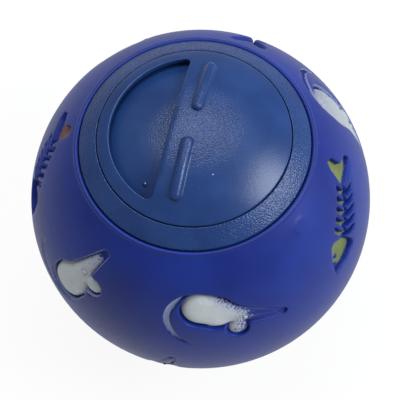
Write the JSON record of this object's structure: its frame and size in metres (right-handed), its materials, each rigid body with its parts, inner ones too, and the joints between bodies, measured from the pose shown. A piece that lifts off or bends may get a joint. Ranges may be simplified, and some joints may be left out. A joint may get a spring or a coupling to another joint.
{
  "type": "cat treat ball",
  "caption": "Hollow soft ball with moulded mouse and fish figures and a turning dial with a half-moon opening that lets treats in and out.",
  "frame": {"origin": "centre of the ball", "axes": "+Z from the centre of the ball through the middle of the dial; +Y along the grips of the dial when it is shut; the dial's opening on the -X side and the baffle's on the +X side"},
  "size_m": [0.075, 0.075, 0.0758],
  "materials": {
    "soft_vinyl": "satin soft vinyl with painted figure floors",
    "ring_plastic": "fine moulded grain, half gloss",
    "baffle_plastic": "smooth half gloss",
    "dial_plastic": "fine moulded grain, half gloss"
  },
  "bodies": {
    "ball": {"ball_shell": "soft_vinyl", "port_ring": "ring_plastic", "baffle": "baffle_plastic"},
    "dial": {"dial": "dial_plastic"}
  },
  "joints": [
    {"name": "dial_turn", "type": "hinge", "parent": "ball", "child": "dial", "pos_m": [0, 0, 0.03], "axis": [0, 0, 1], "continuous": true}
  ]
}
